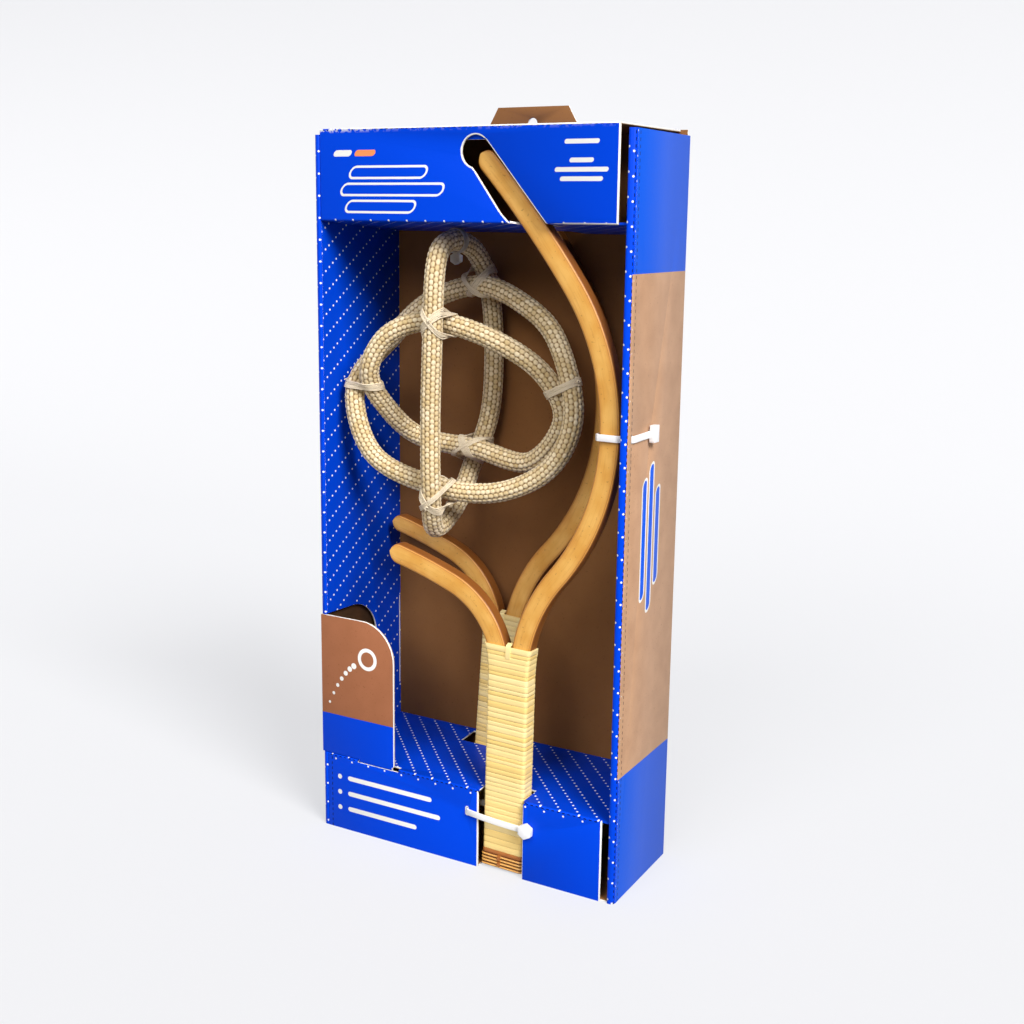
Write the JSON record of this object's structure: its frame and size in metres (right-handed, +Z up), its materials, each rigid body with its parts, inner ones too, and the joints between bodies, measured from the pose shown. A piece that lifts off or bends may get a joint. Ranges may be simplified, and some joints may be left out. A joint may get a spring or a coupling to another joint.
{
  "type": "sling_and_catch_set",
  "caption": "Bent-cane throwing forks and a rope-ring ball tied into an open-fronted blue display carton with a hinged lid and fold-out flap",
  "frame": {"origin": "middle of the carton's footprint, on the underside of its bottom board", "axes": "+Z up, -Y out of the open front, +X to the right seen from the front"},
  "size_m": [0.2659, 0.101, 0.563],
  "materials": {
    "board_print": "satin",
    "board_kraft": "matte",
    "nylon": "satin",
    "cane": "satin",
    "rattan": "satin",
    "dark_rattan": "satin",
    "rope": "matte",
    "lash_cord": "matte"
  },
  "bodies": {
    "carton": {"back_panel": "board_kraft", "bottom_panel": "board_kraft", "left_outer_wall": "board_print", "left_inner_wall": "board_print", "left_edge_strip": "board_print", "right_outer_wall": "board_print", "right_inner_wall": "board_print", "right_edge_strip": "board_print", "base_front_left": "board_print", "base_front_right": "board_print", "base_deck": "board_print", "header_front": "board_print", "header_floor": "board_print", "front_tie_back": "nylon", "side_tie_outer": "nylon"},
    "lid": {"lid_panel": "board_print", "lid_tuck_flap": "board_print"},
    "flap": {"info_flap": "board_kraft"},
    "front_thrower": {"front_long_arm": "cane", "front_short_arm": "cane", "front_grip_wrap": "rattan", "front_butt_binding": "dark_rattan", "front_tie": "nylon", "side_tie_loop": "nylon"},
    "rear_thrower": {"rear_long_arm": "cane", "rear_short_arm": "cane", "rear_grip_wrap": "rattan", "rear_butt_binding": "dark_rattan"},
    "ball": {"upright_ring": "rope", "inner_ring": "rope", "middle_ring": "rope", "ball_tie": "nylon", "lashing_front_upper": "lash_cord", "lashing_front_lower": "lash_cord", "lashing_back_upper": "lash_cord", "lashing_back_lower": "lash_cord", "lashing_left": "lash_cord", "lashing_right": "lash_cord"}
  },
  "joints": [
    {"name": "lid_hinge", "type": "hinge", "parent": "carton", "child": "lid", "pos_m": [0, 0.0463, 0.5442], "axis": [-1, 0, 0], "range_deg": [0, 90]},
    {"name": "flap_fold", "type": "hinge", "parent": "carton", "child": "flap", "pos_m": [-0.131, -0.048, 0.119], "axis": [0, 0, -1], "range_deg": [0, 110]},
    {"name": "front_thrower_out", "type": "slide", "parent": "carton", "child": "front_thrower", "axis": [0, -1, 0], "range_m": [0, 0.12]},
    {"name": "ball_out", "type": "slide", "parent": "carton", "child": "ball", "axis": [0, -1, 0], "range_m": [0, 0.15]},
    {"name": "rear_thrower_lift", "type": "slide", "parent": "carton", "child": "rear_thrower", "axis": [0, 0, 1], "range_m": [0, 0.008]}
  ]
}
